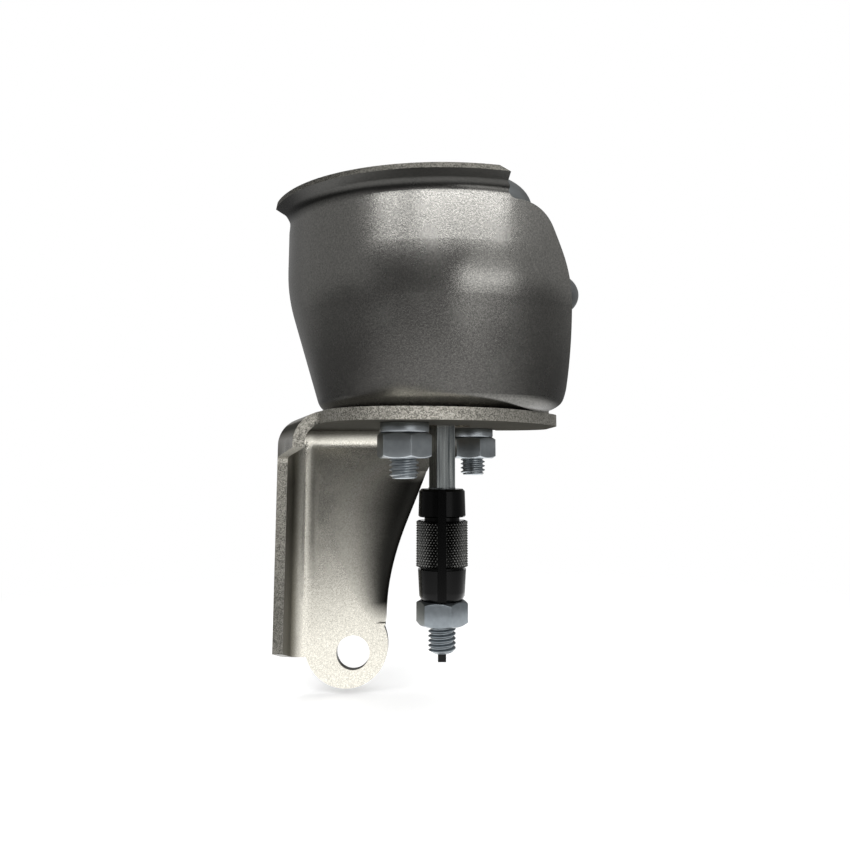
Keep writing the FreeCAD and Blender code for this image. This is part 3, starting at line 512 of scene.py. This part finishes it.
endLook = {"foot": -51.5, "joint": -45.5, "chamfer": (1.9, 0.65), "overlap": 0.2, "smooth": 28}
endStud = copyNode("end_stud", "endStudShank")
trimBelow(endStud, endLook["joint"])
endThread = threadBar("endThread", endLook["foot"], endLook["joint"] + endLook["overlap"],
                      endLook["chamfer"], Vector())
endStud = joinPieces([endStud, endThread], "endStud")
smoothByAngle(endStud, endLook["smooth"])
endStud.data.materials.clear()
endStud.data.materials.append(endZinc)
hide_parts("end_stud")
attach(endStud, "end")
print("threads cut")

# knurled band of the sleeve: its heights, diamonds around and in rows, the radius at their roots, how far
# their points stand out, and half the slot's width, which is cleared in front of the axis
knurlLook = {"top": -23.35, "foot": -33.25, "around": 48, "rows": 9, "root": 5.36, "point": 0.4, "slot": 0.95,
             "front": -2, "smooth": 25}
# the plain band under it: what lies within this reach of its heights and beyond this radius is turned down
bandLook = {"reach": 0.15, "radius": 4.9, "share": 0.935}
sleeve = copyNode("adjuster_sleeve", "sleeveBody")
edit(sleeve)
axis = place(0, 0, 0)
lowest, highest = knurlLook["foot"] - bandLook["reach"], knurlLook["top"] + bandLook["reach"]
selectWhere(sleeve, "verts", lambda v: lowest < v.co.z * 1000 - plateZ < highest
            and (v.co.xy - axis.xy).length > bandLook["radius"] / 1000)
bpy.ops.transform.resize(value=(bandLook["share"], bandLook["share"], 1), center_override=axis)
leaveEdit()
deselectAll()
bpy.ops.mesh.primitive_cylinder_add(vertices=knurlLook["around"], radius=knurlLook["root"] / 1000,
                                    depth=(knurlLook["top"] - knurlLook["foot"]) / 1000,
                                    location=place(0, 0, (knurlLook["top"] + knurlLook["foot"]) / 2),
                                    end_fill_type="NOTHING")
knurl = bpy.context.object
knurl.name = knurl.data.name = "knurlSkin"
bakePlace(knurl)
edit(knurl)
selectWhere(knurl, "edges", lambda e: abs(e.verts[0].co.z - e.verts[1].co.z) > 0.001)
bpy.ops.mesh.subdivide(number_cuts=knurlLook["rows"] - 1)
# poking the grid and dissolving its own lines leaves diamonds
mesh = bmesh.from_edit_mesh(knurl.data)
grid = {tuple(sorted((e.verts[0].index, e.verts[1].index))) for e in mesh.edges if not e.is_boundary}
bpy.ops.mesh.select_all(action="SELECT")
bpy.ops.mesh.poke()
selectWhere(knurl, "edges", lambda e: tuple(sorted((e.verts[0].index, e.verts[1].index))) in grid)
bpy.ops.mesh.dissolve_edges(use_verts=False)
bpy.ops.mesh.select_all(action="SELECT")
bpy.ops.mesh.poke(offset=knurlLook["point"] / 1000)
# the front is cut along both sides of the slot and cleared between them
for side in (-1, 1):
    selectWhere(knurl, "faces", lambda f: f.calc_center_median().y * 1000 < rodY + knurlLook["front"])
    bpy.ops.mesh.bisect(plane_co=place(side * knurlLook["slot"], 0, 0), plane_no=(1, 0, 0))
selectWhere(knurl, "faces", lambda f: f.calc_center_median().y * 1000 < rodY + knurlLook["front"]
            and abs(f.calc_center_median().x * 1000 - rodX) < knurlLook["slot"])
bpy.ops.mesh.delete(type="FACE")
leaveEdit()
sleeve = joinPieces([sleeve, knurl], "adjusterSleeve")
smoothByAngle(sleeve, knurlLook["smooth"])
sleeve.data.materials.clear()
sleeve.data.materials.append(finishes["black_steel"])
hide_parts("adjuster_sleeve")
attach(sleeve, "adjuster")
print("sleeve knurled")

# hardware with its edges broken: name, width of the break, slot and body
softened = {
    "stud_nuts": ("studNuts", 0.16, "plated_steel", "canister"),
    "lock_nut": ("lockNut", 0.18, "plated_steel", "adjuster"),
    "stud_lock_washers": ("lockWashers", 0.3, "plated_steel", "canister"),
    "tip_pin": ("tipPin", 0.12, "black_steel", "end"),
}
softLook = {"segments": 2, "edgeOver": 28, "smooth": 32}    # steps across each break, and angles in degrees
for node, (name, width, slot, body) in softened.items():
    piece = copyNode(node, name)
    soft = piece.modifiers.new("soft", "BEVEL")
    soft.width = width / 1000
    soft.segments = softLook["segments"]
    soft.limit_method = "ANGLE"
    soft.angle_limit = math.radians(softLook["edgeOver"])
    soft.use_clamp_overlap = True
    applyModifiers(piece)
    smoothByAngle(piece, softLook["smooth"])
    piece.data.materials.clear()
    piece.data.materials.append(endZinc if node == "lock_nut" else finishes[slot])
    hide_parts(node)
    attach(piece, body)
print("hardware softened")

# spring and diaphragm, each on a mesh of its own: name, height of the fixed end, share of length left, slot
yielding = {
    "return_spring": ("returnSpring", 50.4, 0.712, "spring_steel"),
    "diaphragm": ("rollingDiaphragm", 27.4, 0.36, "seal_rubber"),
}
for node, (name, fixed, left, slot) in yielding.items():
    piece = copyNode(node, name)
    smoothByAngle(piece, 30)
    piece.data.materials.clear()
    piece.data.materials.append(finishes[slot])
    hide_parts(node)
    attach(piece, "canister")
    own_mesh(piece)

# studio: pale floor that fades to white, soft lamps, and grey cards the lens never sees
floorData = {"front": -280, "back": 900, "side": 900, "height": -68.5, "paper": "#f0f0f0", "rough": 0.9,
             "fade": (60, 260), "lift": 0.3, "mirrorReach": (100, 212), "mirrorLevel": (2.1, 0.18)}
deselectAll()
bpy.ops.mesh.primitive_plane_add(size=1)
floor = bpy.context.object
floor.name = "floor"
floor.location = place(0, (floorData["front"] + floorData["back"]) / 2, floorData["height"])
floor.scale = (2 * floorData["side"] / 1000, (floorData["back"] - floorData["front"]) / 1000, 1)
bakePlace(floor)
paper = bpy.data.materials.new("whitePaper")
paper.use_nodes = True
tree = paper.node_tree
shader = tree.nodes["Principled BSDF"]
shader.inputs["Base Color"].default_value = srgb(floorData["paper"])
shader.inputs["Roughness"].default_value = floorData["rough"]
where = addNode(tree, "ShaderNodeTexCoord").outputs["Object"]
away = addNode(tree, "ShaderNodeVectorMath", {0: where, 1: place(0, 0, floorData["height"])},
               operation="DISTANCE")
fade = addNode(tree, "ShaderNodeMapRange", {"Value": away.outputs["Value"],
               "From Min": floorData["fade"][0] / 1000, "From Max": floorData["fade"][1] / 1000},
               interpolation_type="SMOOTHSTEP")
path = addNode(tree, "ShaderNodeLightPath")
lens = path.outputs["Is Camera Ray"]
share = addNode(tree, "ShaderNodeMath", {0: fade.outputs[0], 1: lens}, operation="MULTIPLY")
glow = addNode(tree, "ShaderNodeEmission", {"Color": white, "Strength": 1.0})
lensLift = addNode(tree, "ShaderNodeMath", {0: lens, 1: floorData["lift"]}, operation="MULTIPLY")
lift = addNode(tree, "ShaderNodeEmission", {"Color": white, "Strength": lensLift.outputs[0]})
lifted = addNode(tree, "ShaderNodeAddShader", {0: shader.outputs[0], 1: lift.outputs[0]})
both = addNode(tree, "ShaderNodeMixShader", {0: share.outputs[0], 1: lifted.outputs[0], 2: glow.outputs[0]})
# what the metal mirrors of the paper: a painted pool of light that only reflections see, bright close by, dim
# farther off
near, far = [reach / 1000 for reach in floorData["mirrorReach"]]
mirrored = addNode(tree, "ShaderNodeMapRange", {"Value": away.outputs["Value"], "From Min": near,
                   "From Max": far, "To Min": floorData["mirrorLevel"][0],
                   "To Max": floorData["mirrorLevel"][1]})
mirror = addNode(tree, "ShaderNodeEmission", {"Color": white, "Strength": mirrored.outputs[0]})
split = addNode(tree, "ShaderNodeMixShader", {0: path.outputs["Is Glossy Ray"], 1: both.outputs[0],
                                              2: mirror.outputs[0]})
tree.links.new(split.outputs[0], tree.nodes["Material Output"].inputs["Surface"])
floor.data.materials.append(paper)

# grey cards that only reflections see: azimuth from the lens side, elevation, distance and level
cards = {
    "backLeft": ((-178, -122), (-25, 50), 1000, 0.3),
    "backRight": ((128, 178), (-25, 50), 1000, 0.25),
    "leftCard": ((-122, -48), (-25, 60), 800, 0.4),
    "leftGap": ((-48, 18), (4, 20), 960, 0.24),
    "legGap": ((-48, 16), (-25, 4), 955, 0.14),
    "rightGap": ((50, 128), (-25, 60), 940, 0.5),
    "middleGap": ((18, 50), (8, 22), 960, 0.3),
    "lowGlow": ((12, 52), (-24, -4), 940, 2.6),
    "lowStrip": ((16, 46), (-25, 3), 950, 0.8),
    "rightStep": ((50, 100), (23, 60), 830, 0.9),
}
for name, (azimuth, elevation, distance, level) in cards.items():
    heading = math.radians(sum(azimuth) / 2)
    half = math.radians((azimuth[1] - azimuth[0]) / 2)
    low, high = [distance * math.tan(math.radians(e)) for e in elevation]
    deselectAll()
    bpy.ops.mesh.primitive_plane_add(size=1)
    card = bpy.context.object
    card.name = name
    card.scale = (2 * distance * math.tan(half) / 1000, (high - low) / 1000, 1)
    card.rotation_euler = (math.radians(90), 0, heading)
    card.location = place(distance * math.sin(heading), -distance * math.cos(heading), (low + high) / 2)
    bakePlace(card)
    card.visible_camera = card.visible_diffuse = card.visible_shadow = False
    paint = bpy.data.materials.new(name)
    paint.use_nodes = True
    tree = paint.node_tree
    lit = addNode(tree, "ShaderNodeEmission", {"Color": white, "Strength": level})
    tree.links.new(lit.outputs[0], tree.nodes["Material Output"].inputs["Surface"])
    card.data.materials.append(paint)

# a card overhead, as dim as the one on the left: size in metres
ceilingLook = {"size": 1.3, "spot": (0, -50, 560)}
deselectAll()
bpy.ops.mesh.primitive_plane_add(size=ceilingLook["size"], location=place(*ceilingLook["spot"]),
                                 rotation=(math.pi, 0, 0))
ceiling = bpy.context.object
ceiling.name = "ceiling"
bakePlace(ceiling)
ceiling.visible_camera = ceiling.visible_diffuse = ceiling.visible_shadow = False
ceiling.data.materials.append(bpy.data.materials["leftCard"])

# lamps: azimuth, elevation, distance, width and height in metres, power
lamps = {
    "leftBox": (-36, 34, 860, (0.3, 0.42), 1.9),
    "frontBox": (14, 34, 860, (1.0, 0.42), 7.2),
    "topBox": (0, 80, 900, (1.0, 0.8), 6),
}
aim = place(0, 0, 0)
for name, (azimuth, elevation, distance, size, power) in lamps.items():
    data = bpy.data.lights.new(name, "AREA")
    data.shape = "RECTANGLE"
    data.size, data.size_y = size
    data.energy = power
    lamp = bpy.data.objects.new(name, data)
    flat, up = math.radians(azimuth), math.radians(elevation)
    lamp.location = place(distance * math.sin(flat) * math.cos(up), -distance * math.cos(flat) * math.cos(up),
                          distance * math.sin(up))
    lamp.rotation_euler = (aim - lamp.location).to_track_quat("-Z", "Y").to_euler()
    bpy.context.scene.collection.objects.link(lamp)

# the sky is white to the lens and in reflections, and dim as a light
skyLevel = {"seen": 1.0, "light": 0.3}
world = bpy.data.worlds.new("studio")
bpy.context.scene.world = world
world.use_nodes = True
tree = world.node_tree
tree.nodes.clear()
path = addNode(tree, "ShaderNodeLightPath")
seen = addNode(tree, "ShaderNodeMath", {0: path.outputs["Is Camera Ray"],
                                        1: path.outputs["Is Transmission Ray"]}, operation="MAXIMUM")
seenToo = addNode(tree, "ShaderNodeMath", {0: seen.outputs[0], 1: path.outputs["Is Glossy Ray"]},
                  operation="MAXIMUM")
strength = addNode(tree, "ShaderNodeMath", {0: seenToo.outputs[0], 1: skyLevel["seen"] - skyLevel["light"],
                   2: skyLevel["light"]}, operation="MULTIPLY_ADD")
sky = addNode(tree, "ShaderNodeBackground", {"Color": white, "Strength": strength.outputs[0]})
addNode(tree, "ShaderNodeOutputWorld", {"Surface": sky.outputs[0]})
print("studio lit")

bpy.context.scene.view_settings.view_transform = "Standard"
